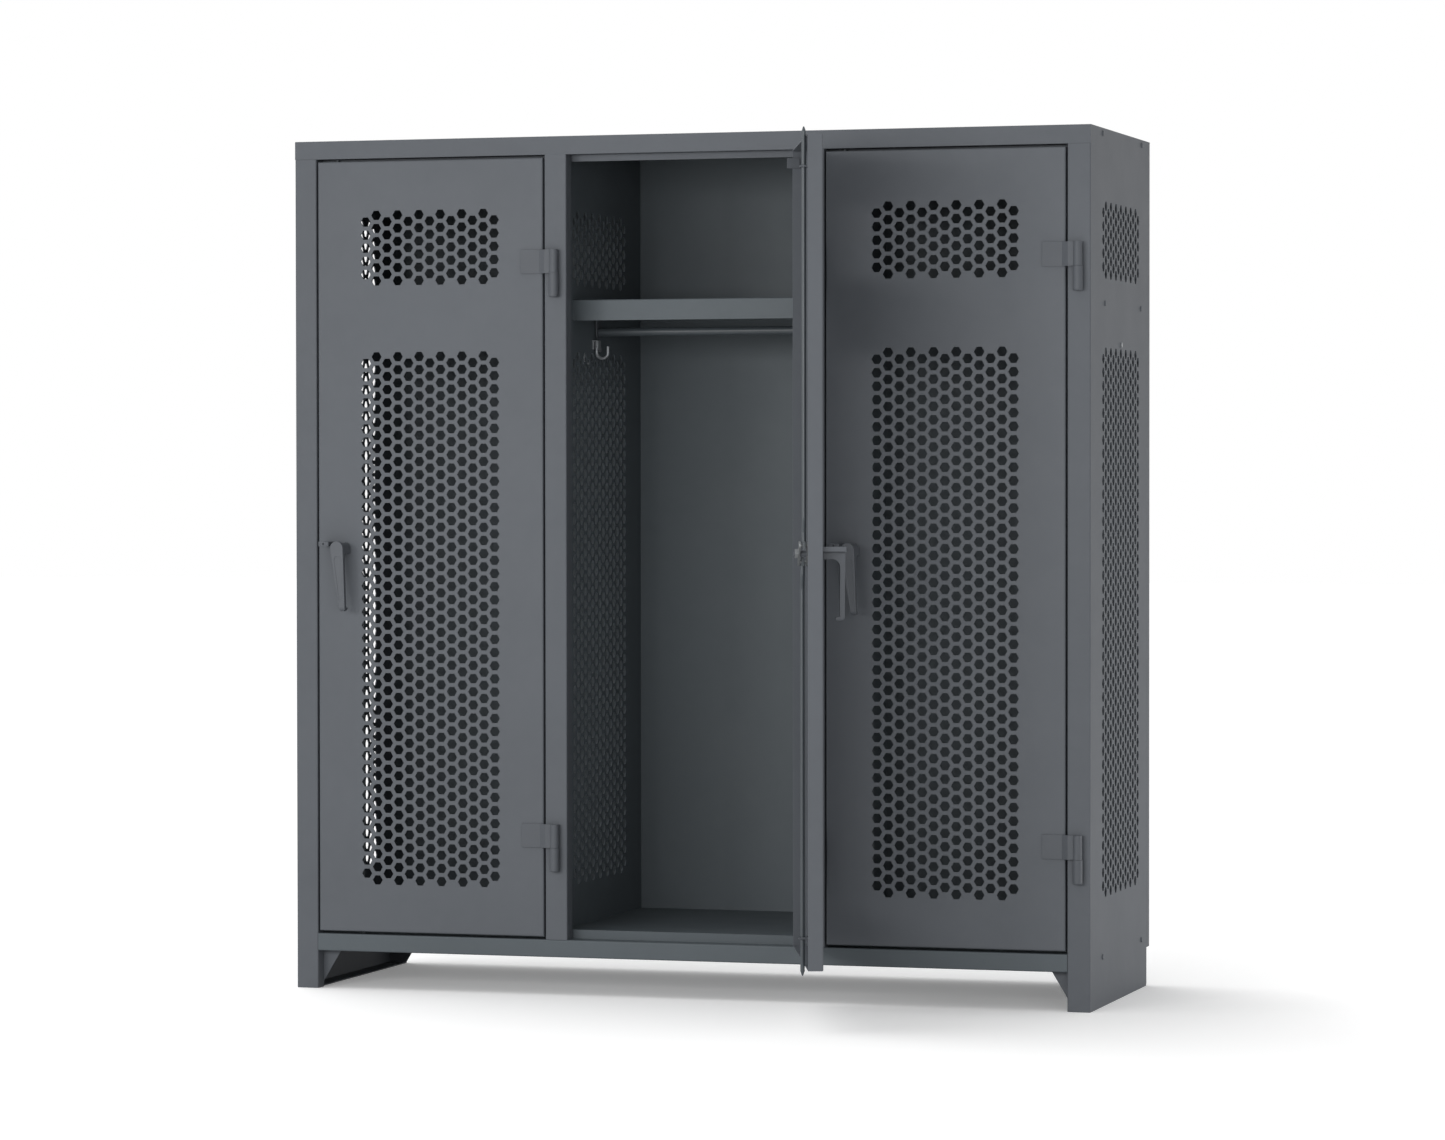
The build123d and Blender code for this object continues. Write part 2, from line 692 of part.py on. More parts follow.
for number, name in enumerate(bays):
    frame = hinge_frame(number)

    # Door skin: the flat perforated field inside the door's folded rim
    with BuildPart() as door_skin:
        with BuildSketch(face_plane(frame)):
            with Locations((door_centre, (door_bottom + door_top) / 2)):
                Rectangle(door_width - 2 * bend_radius, door_height - 2 * bend_radius)
            perforate(door_columns, door_centre)
            cut_holes([(pivot, pivot_height)], bush_diameter, bush_hole_gap)
        extrude(amount=sheet, clean=False)
    door_skin.part.label = f"{name}_door_skin"
    export_step(door_skin.part, f"parts/{name}_door_skin.step", write_pcurves=False)

    # Door rim: the four folded flanges round the skin
    with BuildPart() as door_rim:
        with BuildSketch(face_plane(frame)):
            with Locations((door_centre, (door_bottom + door_top) / 2)):
                Rectangle(door_width, door_height)
        extrude(amount=door_thickness)
        front = door_rim.faces().sort_by(Axis(frame.origin, frame.y_dir))[-1]
        fillet(front.edges(), bend_radius)
        with BuildSketch(face_plane(frame, sheet)):
            with Locations((door_centre, (door_bottom + door_top) / 2)):
                Rectangle(door_width - 2 * sheet, door_height - 2 * sheet)
        extrude(amount=door_thickness, mode=Mode.SUBTRACT)
        with BuildSketch(face_plane(frame, -overrun)):
            with Locations((door_centre, (door_bottom + door_top) / 2)):
                Rectangle(door_width - 2 * bend_radius, door_height - 2 * bend_radius)
        extrude(amount=sheet + 2 * overrun, mode=Mode.SUBTRACT)
    door_rim.part.label = f"{name}_door_rim"
    export_step(door_rim.part, f"parts/{name}_door_rim.step")

    # Upper halves of the hinges, each a barrel with a stepped leaf on the door's face
    leaf_top = leaf_thickness / 2
    leaf_face = leaf_thickness - hinge_stand_off
    with BuildPart() as door_hinge_leaves:
        for split in hinge_splits:
            with BuildSketch(frame.offset(split + barrel_gap)):
                with BuildLine():
                    Polyline(
                        (0, -leaf_top),
                        (leaf_step_end, -leaf_top),
                        (leaf_step_start, -hinge_stand_off),
                        (leaf_reach, -hinge_stand_off),
                        (leaf_reach, leaf_face),
                        (leaf_step_start - leaf_step_shift, leaf_face),
                        (leaf_step_end - leaf_step_shift, leaf_top),
                        (0, leaf_top),
                        close=True,
                    )
                make_face()
                Circle(leaf_barrel_diameter / 2)
                Circle(hinge_pin_diameter / 2 + hinge_pin_fit, mode=Mode.SUBTRACT)
            extrude(amount=barrel_length)
    door_hinge_leaves.part.label = f"{name}_door_hinge_leaves"
    export_step(door_hinge_leaves.part, f"parts/{name}_door_hinge_leaves.step")

    # Lever handle on its spindle
    bar_back = lever_face - lever_bar
    foot_end = lever_face - foot_curl
    half_neck = lever_neck / 2
    with BuildPart() as door_handle:
        with BuildSketch(face_plane(frame, -lever_face)):
            foot_centre = (pivot - lever_lean, pivot_height - lever_length)
            tapered_bar((pivot, pivot_height), lever_head_radius, foot_centre, lever_foot_radius)
        extrude(amount=lever_face)
        lever_front = door_handle.faces().sort_by(Axis(frame.origin, frame.y_dir))[-1]
        fillet(lever_front.edges(), lever_rounding)
        with BuildSketch(edge_plane(frame, pivot - 2 * lever_head_radius)) as profile:
            with BuildLine():
                Polyline(
                    (hub_start, pivot_height + half_neck),
                    (bar_back, pivot_height + half_neck),
                    (bar_back, pivot_height + lever_head_radius + overrun),
                    (lever_face + overrun, pivot_height + lever_head_radius + overrun),
                    (lever_face + overrun, pivot_height),
                    (lever_face, pivot_height),
                    (lever_face, lever_end),
                    (foot_end, lever_end),
                    (foot_end, lever_end + foot_thickness),
                    (bar_back, lever_end + foot_thickness),
                    (bar_back, pivot_height - half_neck),
                    (hub_start, pivot_height - half_neck),
                    close=True,
                )
            make_face()
            fillet(corner(profile, bar_back, pivot_height - half_neck), lever_throat)
            fillet(corner(profile, lever_face, lever_end), lever_foot_bend)
            fillet(corner(profile, bar_back, lever_end + foot_thickness), foot_rounding)
            fillet(corner(profile, foot_end, lever_end), foot_rounding)
            fillet(corner(profile, foot_end, lever_end + foot_thickness), foot_rounding)
        extrude(amount=4 * lever_head_radius, mode=Mode.INTERSECT)
        with BuildSketch(face_plane(frame, -lever_face)):
            slope = lever_lean / lever_length
            channel_head = (pivot - channel_start * slope, pivot_height - channel_start)
            channel_foot = (pivot - channel_end * slope, pivot_height - channel_end)
            tapered_bar(channel_head, channel_start_radius, channel_foot, channel_end_radius)
        extrude(amount=channel_depth, mode=Mode.SUBTRACT)
        with BuildSketch(face_plane(frame, -hub_start - hub_length)):
            with Locations((pivot, pivot_height)):
                Circle(hub_diameter / 2)
        extrude(amount=hub_length)
        with BuildSketch(face_plane(frame, -hub_start - overrun)):
            with Locations((pivot, pivot_height)):
                Circle(spindle_diameter / 2)
        extrude(amount=hub_start + overrun + spindle_end)
    door_handle.part.label = f"{name}_door_handle"
    export_step(door_handle.part, f"parts/{name}_door_handle.step")

    # Latch cam: two plates on the spindle joined by the pins that drive the rods, and its nut
    upper_pin = (pivot + pin_out, pivot_height + pin_out)
    lower_pin = (pivot - pin_out, pivot_height - pin_out)
    with BuildPart() as latch_cam:
        for depth, thickness in ((cam_inner_depth, cam_inner_plate), (cam_outer_depth, cam_outer_plate)):
            with BuildSketch(face_plane(frame, depth)):
                tapered_bar(upper_pin, cam_eye_width / 2, lower_pin, cam_eye_width / 2)
            extrude(amount=thickness)
        with BuildSketch(face_plane(frame, cam_inner_depth)):
            with Locations(upper_pin, lower_pin):
                Circle(cam_pin_diameter / 2)
        extrude(amount=cam_outer_depth - cam_inner_depth)
        with BuildSketch(face_plane(frame, cam_outer_depth + cam_outer_plate)):
            with Locations((pivot, pivot_height)):
                RegularPolygon(cam_nut_across / 2, 6, major_radius=False)
        extrude(amount=cam_nut)
        with BuildSketch(face_plane(frame)):
            with Locations((pivot, pivot_height)):
                Circle(spindle_diameter / 2)
        extrude(amount=spindle_end + overrun, mode=Mode.SUBTRACT)
    latch_cam.part.label = f"{name}_latch_cam"
    export_step(latch_cam.part, f"parts/{name}_latch_cam.step")

    # Padlock hasp: a lug on the door's face beside the handle, with an upright hole for the shackle
    with BuildPart() as padlock_hasp:
        with BuildSketch(frame.offset(hasp_bottom)) as lug:
            with Locations((hasp_middle, -hinge_stand_off)):
                Rectangle(hasp_width, hasp_reach, align=(Align.CENTER, Align.MIN))
            hasp_end = hasp_reach - hinge_stand_off
            for side in (1, -1):
                fillet(corner(lug, hasp_middle + side * hasp_width / 2, hasp_end), hasp_rounding)
            with Locations((hasp_middle, hasp_end - padlock_hole_from_end)):
                Circle(padlock_hole_diameter / 2, mode=Mode.SUBTRACT)
        extrude(amount=hasp_thickness)
        with BuildSketch(face_plane(frame, -hasp_reach)):
            with Locations((hasp_middle, hasp_bottom + hasp_thickness / 2)):
                Circle(hasp_dimple_diameter / 2)
        extrude(amount=hasp_dimple_depth, mode=Mode.SUBTRACT)
    padlock_hasp.part.label = f"{name}_padlock_hasp"
    export_step(padlock_hasp.part, f"parts/{name}_padlock_hasp.step")

    # Handle bushing: flange outside the skin, sleeve through it and nut behind it
    with BuildPart() as handle_bushing:
        with BuildSketch(face_plane(frame, -bush_flange)):
            with Locations((pivot, pivot_height)):
                Circle(bush_flange_diameter / 2)
        extrude(amount=bush_flange)
        with BuildSketch(face_plane(frame, -bush_flange)):
            with Locations((pivot, pivot_height)):
                Circle(bush_diameter / 2)
        extrude(amount=bush_flange + sheet + bush_nut + bush_tail)
        with BuildSketch(face_plane(frame, sheet)):
            with Locations((pivot, pivot_height)):
                RegularPolygon(bush_nut_across / 2, 6, major_radius=False)
        extrude(amount=bush_nut)
        with BuildSketch(face_plane(frame, -bush_flange - overrun)):
            with Locations((pivot, pivot_height)):
                Circle(spindle_diameter / 2 + spindle_fit)
        extrude(amount=spindle_end, mode=Mode.SUBTRACT)
    handle_bushing.part.label = f"{name}_handle_bushing"
    export_step(handle_bushing.part, f"parts/{name}_handle_bushing.step")

    # Lock rods: each has a slotted eye on its cam pin, a small jog and a pointed end
    eye_middle = (pin_out + cam_throw) / 2
    slot_length = cam_throw - pin_out + cam_pin_diameter + 2 * cam_pin_gap
    slot_height = cam_pin_diameter + 2 * cam_pin_gap
    rods = [
        ("upper", 1, free_edge - upper_rod_from_edge, door_top + upper_rod_reach),
        ("lower", -1, free_edge - lower_rod_from_edge, door_bottom - lower_rod_reach),
    ]
    for place, side, rod_line, rod_end in rods:
        eye_x = pivot + side * eye_middle
        eye_z = pivot_height + side * pin_out
        rod_start = eye_z + side * (slot_height / 2 + overrun)
        with BuildPart() as lock_rod:
            with BuildSketch(face_plane(frame, rod_depth - eye_thickness / 2)):
                with Locations((eye_x, eye_z)):
                    Rectangle(slot_length + 2 * eye_wall, slot_height + 2 * eye_wall)
                    SlotOverall(slot_length, slot_height, mode=Mode.SUBTRACT)
            extrude(amount=eye_thickness)
            with BuildLine(face_plane(frame, rod_depth)) as rod_path:
                FilletPolyline(
                    (eye_x, rod_start),
                    (eye_x, rod_start + side * rod_jog_start),
                    (rod_line, rod_start + side * (rod_jog_start + rod_jog_length)),
                    (rod_line, rod_end - side * rod_point),
                    radius=rod_bend,
                )
            rod_out = -hinge_stand_off - rod_depth
            base = Plane(origin=frame.from_local_coords((eye_x, rod_out, rod_start)), z_dir=(0, 0, side))
            with BuildSketch(base):
                Circle(rod_diameter / 2)
            sweep(path=rod_path.wires()[0])
            point = frame.from_local_coords((rod_line, rod_out, rod_end - side * rod_point))
            with Locations(Plane(origin=point, z_dir=(0, 0, side)).location):
                Cone(rod_diameter / 2, rod_point_diameter / 2, rod_point, align=(Align.CENTER, Align.CENTER, Align.MIN))
        lock_rod.part.label = f"{name}_{place}_lock_rod"
        export_step(lock_rod.part, f"parts/{name}_{place}_lock_rod.step")

    # Rod guides: plates welded square to the inside of the skin
    with BuildPart() as rod_guides:
        guide_rows = (
            (upper_guide_height, free_edge - upper_rod_from_edge),
            (lower_guide_height, free_edge - lower_rod_from_edge),
        )
        for height, rod_line in guide_rows:
            with BuildSketch(frame.offset(height)):
                with Locations((rod_line, -hinge_stand_off - sheet)):
                    Rectangle(guide_width, guide_end - sheet, align=(Align.CENTER, Align.MAX))
                with Locations((rod_line, -hinge_stand_off - rod_depth)):
                    Circle(rod_diameter / 2 + guide_fit, mode=Mode.SUBTRACT)
            extrude(amount=guide_sheet)
    rod_guides.part.label = f"{name}_rod_guides"
    export_step(rod_guides.part, f"parts/{name}_rod_guides.step")

    # Anti-lift tab on the hinge side of the rim, reaching in behind the frame
    with BuildPart() as anti_lift_tab:
        with BuildSketch(edge_plane(frame, edge_from_axis + sheet)):
            with Locations((-tab_front, tab_top)):
                Rectangle(door_thickness + tab_reach - tab_front, tab_height, align=(Align.MAX, Align.MAX))
        extrude(amount=tab_sheet)
    anti_lift_tab.part.label = f"{name}_anti_lift_tab"
    export_step(anti_lift_tab.part, f"parts/{name}_anti_lift_tab.step")
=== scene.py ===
"""Looks for a three-bay ventilated locker: satin grey paint, plated fittings and vented sheets."""

from math import cos, radians, sin, sqrt

import bmesh
import bpy
import numpy as np
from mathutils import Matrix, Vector, geometry


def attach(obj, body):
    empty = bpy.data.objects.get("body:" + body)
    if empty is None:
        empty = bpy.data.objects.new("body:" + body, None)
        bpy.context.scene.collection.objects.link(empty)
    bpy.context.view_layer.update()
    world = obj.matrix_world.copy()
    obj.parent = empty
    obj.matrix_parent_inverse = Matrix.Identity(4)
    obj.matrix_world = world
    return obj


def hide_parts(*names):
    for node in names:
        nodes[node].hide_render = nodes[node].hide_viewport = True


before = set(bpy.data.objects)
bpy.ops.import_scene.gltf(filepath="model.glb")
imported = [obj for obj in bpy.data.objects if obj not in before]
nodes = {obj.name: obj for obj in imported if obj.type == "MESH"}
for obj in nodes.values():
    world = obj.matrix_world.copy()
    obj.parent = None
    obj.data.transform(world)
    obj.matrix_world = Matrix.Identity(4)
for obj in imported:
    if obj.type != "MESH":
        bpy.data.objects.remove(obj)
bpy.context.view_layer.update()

# Sizes of the sheet work, in metres
sheet = 0.00266
front = -0.3048
side_face = 0.9144
hexagon_across = 0.0206
row_pitch = 0.02933
column_pitch = row_pitch * sqrt(3) / 2
vent_groups = ((1.6636, 6), (0.8338, 41))
wall_columns = 15
wall_centre = 0.3048
door_columns = 13
door_centre = 0.2963333
hinge_depth = -0.3158
hinge_stand_off = 0.011
bay_pitch = 0.5926667
middle_door_swing = radians(109.5)
bolt_hole = 0.009
stud_hole = 0.007
bush_hole = 0.0204
shelf_bolts = [(0.141, 1.526), (0.510, 1.526)]
end_bolts = [(0.119, 1.893), (0.520, 1.893), (0.119, 0.109), (0.520, 0.109)]
left_stud = (0.264, 1.450)
right_stud = (0.304, 1.440)
post_width = 0.0508
post_return = 0.035
side_depth = 0.5785
side_corner = (0.5735, 0.005)
roof_under = 1.90234
rail_under = 1.8644
divider_foot = 0.1435
divider_back = 0.60694
notch_depth = 0.04766
notch_height = 1.8497
door_near, door_far = 0.0324, 0.5602667
door_low, door_high = 0.1333, 1.8551
side_outline = [
    (post_return, 0), (side_corner[0], 0), (side_depth, side_corner[1]), (side_depth, roof_under),
    (sheet, roof_under), (sheet, rail_under), (post_return, rail_under),
]
divider_outline = [
    (sheet, divider_foot), (divider_back, divider_foot), (divider_back, roof_under),
    (notch_depth, roof_under), (notch_depth, notch_height), (sheet, notch_height),
]
door_outline = [(door_near, door_low), (door_far, door_low), (door_far, door_high), (door_near, door_high)]
door_bush = (0.5022667, 0.992)

# How far from a hole's middle its triangles can lie, and how close two corners of a sheet may come
hole_reach = 0.02
weld_distance = 1e-7

# How far the shaders round the edges of the paint and of the plating
paint_rounding = 0.0010
plate_rounding = 0.0006


# Finishes


class Value:
    """A node's output, which Python's own arithmetic works on."""

    def __init__(self, finish, socket):
        self.finish, self.socket = finish, socket

    def math(self, operation, first, second):
        return self.finish.add("ShaderNodeMath", {"operation": operation}, {0: first, 1: second})

    def __add__(self, other):
        return self.math("ADD", self, other)

    def __radd__(self, other):
        return self.math("ADD", other, self)

    def __sub__(self, other):
        return self.math("SUBTRACT", self, other)

    def __rsub__(self, other):
        return self.math("SUBTRACT", other, self)

    def __rmul__(self, other):
        return self.math("MULTIPLY", other, self)


class Finish:
    """A material, and the one way its nodes are made."""

    def __init__(self, name):
        self.material = bpy.data.materials.new(name)
        self.material.use_nodes = True
        self.tree = self.material.node_tree
        self.shader = self.tree.nodes["Principled BSDF"]

    def add(self, kind, settings, inputs, output=0):
        node = self.tree.nodes.new(kind)
        for key, value in settings.items():
            setattr(node, key, value)
        self.join(node, inputs)
        return Value(self, node.outputs[output])

    def join(self, node, inputs):
        for key, value in inputs.items():
            if isinstance(value, Value):
                self.tree.links.new(value.socket, node.inputs[key])
            else:
                node.inputs[key].default_value = value

    def noise(self, place, scale, detail=2.0):
        return self.add("ShaderNodeTexNoise", {}, {"Vector": place, "Scale": scale, "Detail": detail}, "Fac")

    def step(self, value, low, high):
        return self.add("ShaderNodeMapRange", {"interpolation_type": "SMOOTHSTEP"},
                        {"Value": value, "From Min": low, "From Max": high})

    def mix(self, share, first, second):
        return self.add("ShaderNodeMix", {"data_type": "RGBA"}, {0: share, 6: first, 7: second}, 2)

    def edge(self, radius):
        """How far a point's rounded normal leans from its own, 0 on a flat face, and that rounded normal."""
        rounded = self.add("ShaderNodeBevel", {"samples": 6}, {"Radius": radius}, "Normal")
        own = self.add("ShaderNodeNewGeometry", {}, {}, "Normal")
        along = self.add("ShaderNodeVectorMath", {"operation": "DOT_PRODUCT"}, {0: rounded, 1: own}, "Value")
        return 1 - along, rounded


def tint(colour, share):
    return [part * share for part in colour] + [1.0]


def powder_coat(name, colour, roughness, peel, specular=0.25):
    """Satin powder coat: orange peel, slow drift in colour and gloss, and edges painted a little paler,
    partly as wear and partly as a painted highlight.
    """
    finish = Finish(name)
    place = finish.add("ShaderNodeTexCoord", {}, {}, "Object")
    cloud = finish.noise(place, 2.6, 3.0)
    mottle = finish.noise(place, 38.0, 4.0)
    grain = finish.noise(place, 950.0, 3.0)
    edge, rounded = finish.edge(paint_rounding)
    # Edge mask: paler paint along the edges, partly rubbed wear and partly a painted highlight for the light
    # the bends catch
    edge_wear_and_highlight = finish.step(edge + 0.10 * mottle, 0.09, 0.24)
    drift = finish.step(0.62 * cloud + 0.26 * mottle + 0.12 * grain, 0.32, 0.68)
    paint = finish.mix(drift, tint(colour, 0.955), tint(colour, 1.045))
    coat = finish.mix(0.55 * edge_wear_and_highlight, paint, tint(colour, 1.7))
    handled = finish.noise(place, 9.0, 5.0)
    gloss = roughness + 0.09 * (cloud - 0.5) + 0.10 * (handled - 0.5) - 0.05 * edge_wear_and_highlight
    orange_peel = finish.noise(place, 410.0, 1.5) + 0.35 * grain
    normal = finish.add("ShaderNodeBump", {}, {"Height": orange_peel, "Strength": peel, "Distance": 0.0004,
                                               "Normal": rounded})
    finish.join(finish.shader, {"Base Color": coat, "Roughness": gloss, "Normal": normal,
                                "Specular IOR Level": specular, "IOR": 1.5})
    return finish.material


def zinc_plate(name, colour, roughness, metallic):
    """Bright plating: fine drawn lines, cloudy passivation and edges painted brighter, partly as wear and
    partly as a painted highlight.
    """
    finish = Finish(name)
    place = finish.add("ShaderNodeTexCoord", {}, {}, "Object")
    stretch = (260.0, 900.0, 900.0)
    stretched = finish.add("ShaderNodeVectorMath", {"operation": "MULTIPLY"}, {0: place, 1: stretch})
    lines = finish.noise(stretched, 1.0, 3.0)
    cloud = finish.noise(place, 55.0, 4.0)
    spangle = finish.add("ShaderNodeTexVoronoi", {}, {"Vector": place, "Scale": 420.0}, "Distance")
    edge, rounded = finish.edge(plate_rounding)
    # Edge mask: brighter plating along the edges, partly rubbed wear and partly a painted highlight
    edge_wear_and_highlight = finish.step(edge + 0.12 * cloud, 0.08, 0.26)
    tone = finish.step(0.55 * cloud + 0.25 * lines + 0.20 * spangle, 0.25, 0.70)
    plate = finish.mix(tone, tint(colour, 0.86), tint(colour, 1.08))
    bright = finish.mix(0.5 * edge_wear_and_highlight, plate, tint(colour, 1.35))
    gloss = roughness + 0.16 * (cloud - 0.5) + 0.10 * (lines - 0.5)
    normal = finish.add("ShaderNodeBump", {}, {"Height": lines + 0.4 * spangle, "Strength": 0.10,
                                               "Distance": 0.0002, "Normal": rounded})
    finish.join(finish.shader, {"Base Color": bright, "Roughness": gloss,
                                "Metallic": metallic, "Normal": normal})
    return finish.material


grey = (0.087, 0.095, 0.107)
body_paint = powder_coat("grey_body_paint", grey, 0.54, 0.16)
door_paint = powder_coat("grey_door_paint", grey, 0.50, 0.14)
inside_paint = powder_coat("grey_inside_paint", (0.079, 0.093, 0.103), 0.50, 0.20)
fitting_paint = powder_coat("grey_fitting_paint", (0.079, 0.086, 0.097), 0.50, 0.18)
handle_paint = powder_coat("grey_handle_paint", (0.079, 0.086, 0.097), 0.46, 0.22, 0.3)
rod_paint = powder_coat("grey_rod_paint", (0.056, 0.066, 0.074), 0.36, 0.12, 0.4)
# Bolt heads are painted paler than the body grey: painted light that evens out the shade around each head
bolt_paint_with_painted_light = powder_coat("grey_bolt_painted_light", (0.094, 0.103, 0.115), 0.52, 0.16)
# Dark strip colour: painted shade for the hairline seams at the post tops
seam_shade = powder_coat("grey_painted_seam_shade", (0.040, 0.043, 0.048), 0.60, 0.05)
cam_plate = zinc_plate("plated_cam", (0.20, 0.21, 0.215), 0.38, 0.7)
pin_plate = zinc_plate("plated_pin", (0.22, 0.23, 0.24), 0.34, 0.7)
hook_plate = zinc_plate("plated_hook", (0.25, 0.265, 0.28), 0.36, 0.5)

finish_of = {
    "door_skin": door_paint, "door_rim": door_paint,
    "door_hinge_leaves": fitting_paint, "frame_hinge_knuckles": fitting_paint, "padlock_hasp": fitting_paint,
    "rod_guides": fitting_paint, "anti_lift_tab": fitting_paint, "coat_rod_hangers": fitting_paint,
    "door_handle": handle_paint, "lock_rod": rod_paint, "coat_rod": rod_paint, "panel_bolts": bolt_paint_with_painted_light,
    "handle_bushing": cam_plate, "latch_cam": cam_plate, "hinge_pins": pin_plate, "coat_hooks": hook_plate,
    "back_panel": inside_paint, "floor_panel": inside_paint, "shelf": inside_paint,
    "divider_panel": inside_paint,
}
for name, node in nodes.items():
    endings = [ending for ending in finish_of if name.endswith(ending)]
    coat = finish_of[max(endings, key=len)] if endings else body_paint
    node.data.materials.clear()
    node.data.materials.append(coat)


# Vented sheets


def hexagons(columns, middle):
    """The loops of both groups of vents, whose odd columns hold one more hexagon than the even ones."""
    reach = hexagon_across / sqrt(3)
    loops = []
    for column in range(columns):
        across = middle + (column - (columns - 1) / 2) * column_pitch
        for height, rows in vent_groups:
            count = rows - 1 + column % 2
            for row in range(count):
                up = height + (row - (count - 1) / 2) * row_pitch
                loops.append([(across + reach * cos(radians(60 * k)), up + reach * sin(radians(60 * k)))
                              for k in range(6)])
    return loops


def round_holes(places, diameter, sides=32):
    """The loops of round holes, each drawn with so many sides."""
    turns = [radians(360 * k / sides) for k in range(sides)]
    return [[(a + diameter / 2 * cos(turn), b + diameter / 2 * sin(turn)) for turn in turns]
            for a, b in places]


def inside(points, loop):
    """Which of the points lie inside the loop."""
    found = np.zeros(len(points), bool)
    x, y = points[:, 0], points[:, 1]
    for (ax, ay), (bx, by) in zip(loop, loop[1:] + loop[:1]):
        if ay != by:
            crosses = (ay > y) != (by > y)
            found ^= crosses & (x < (bx - ax) * (y - ay) / (by - ay) + ax)
    return found


def vented_sheet(name, outline, holes, place, body, coat):
    """A sheet with its holes cut through, whose plane and depth place() sets in the room."""
    corners, edges = [], []
    for loop in [outline] + holes:
        start = len(corners)
        corners += [Vector(point) for point in loop]
        edges += [(start + k, start + (k + 1) % len(loop)) for k in range(len(loop))]
    flat, _, triangles, *_ = geometry.delaunay_2d_cdt(corners, edges, [], 0, weld_distance)
    points = np.array([tuple(point) for point in flat])
    triangles = np.array([list(triangle) for triangle in triangles])
    middles = points[triangles].mean(axis=1)
    kept = inside(middles, outline)
    for loop in holes:
        middle = np.mean(loop, axis=0)
        near = np.abs(middles - middle).max(axis=1) < hole_reach
        near[near] = inside(middles[near], loop)
        kept &= ~near
    mesh = bmesh.new()
    face = [mesh.verts.new(place(a, b, 0)) for a, b in points]
    for triangle in triangles[kept]:
        mesh.faces.new([face[k] for k in triangle])
    solid = bmesh.ops.extrude_face_region(mesh, geom=mesh.faces[:])
    a, b = points[0]
    move = place(a, b, sheet) - place(a, b, 0)
    raised = [part for part in solid["geom"] if isinstance(part, bmesh.types.BMVert)]
    bmesh.ops.translate(mesh, vec=move, verts=raised)
    bmesh.ops.recalc_face_normals(mesh, faces=mesh.faces[:])
    data = bpy.data.meshes.new(name)
    mesh.to_mesh(data)
    mesh.free()
    data.materials.append(coat)
    piece = bpy.data.objects.new(name, data)
    bpy.context.scene.collection.objects.link(piece)
    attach(piece, body)
    return piece


def wall_place(x):
    """A point of an upright sheet that faces sideways: depth from the front, height and thickness."""
    return lambda depth, height, out: Vector((x + out, front + depth, height))


def door_place(hinge, swing):
    """A point of a door sheet: distance from the hinge line, height and depth below the face."""
    def place(across, height, depth):
        out = -hinge_stand_off - depth
        return Vector((hinge - across * cos(swing) + out * sin(swing),
                       hinge_depth - across * sin(swing) - out * cos(swing), height))
    return place


wall_vents = hexagons(wall_columns, wall_centre)
door_vents = hexagons(door_columns, door_centre)
bolt_holes = round_holes(shelf_bolts, bolt_hole)
side_holes = wall_vents + bolt_holes + round_holes(end_bolts, bolt_hole)
divider_holes = wall_vents + bolt_holes + round_holes([left_stud, right_stud], stud_hole)

sheets = [
    ("left_side_panel", side_outline, side_holes + round_holes([left_stud], stud_hole),
     -side_face, body_paint),
    ("right_side_panel", side_outline, side_holes + round_holes([right_stud], stud_hole),
     side_face - sheet, body_paint),
    ("left_divider_panel", divider_outline, divider_holes, -bay_pitch / 2 - sheet / 2, inside_paint),
    ("right_divider_panel", divider_outline, divider_holes, bay_pitch / 2 - sheet / 2, inside_paint),
]
for node, outline, holes, x, coat in sheets:
    name = node.replace("panel", "vented_sheet")
    piece = vented_sheet(name, outline, holes, wall_place(x), "cabinet", coat)
    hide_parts(node)

door_holes = door_vents + round_holes([door_bush], bush_hole, 48)
for number, bay in enumerate(("left", "middle", "right")):
    swing = middle_door_swing if bay == "middle" else 0.0
    place = door_place((number - 0.5) * bay_pitch, swing)
    name = bay + "_door_vented_sheet"
    piece = vented_sheet(name, door_outline, door_holes, place, bay + "_door", door_paint)
    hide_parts(bay + "_door_skin")

# Dark strips where the roof's front flange meets the end posts: painted shade standing in for the shadow of
# hairline seams
seam_height = 0.0007
seam_length = 0.0483
seam_inset = 0.0025
seam_proud = 0.00005
for side, start in (("left", -side_face + seam_inset), ("right", side_face - post_width)):
    seam = bpy.data.meshes.new(side + "_post_seam_shade_strip")
    end, depth = start + seam_length, front - seam_proud
    low, high = rail_under - seam_height / 2, rail_under + seam_height / 2
    corners = [(start, depth, low), (end, depth, low), (end, depth, high), (start, depth, high)]
    seam.from_pydata(corners, [], [(0, 1, 2, 3)])
    seam.materials.append(seam_shade)
    piece = bpy.data.objects.new(side + "_post_seam_shade_strip", seam)
    bpy.context.scene.collection.objects.link(piece)
    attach(piece, "cabinet")


# Floor, light and camera

# What the floor glows with to the camera, how bright the room lights the locker, and the floor's reach
floor_lift = 0.19
room_level = 0.455
floor_reach = 40


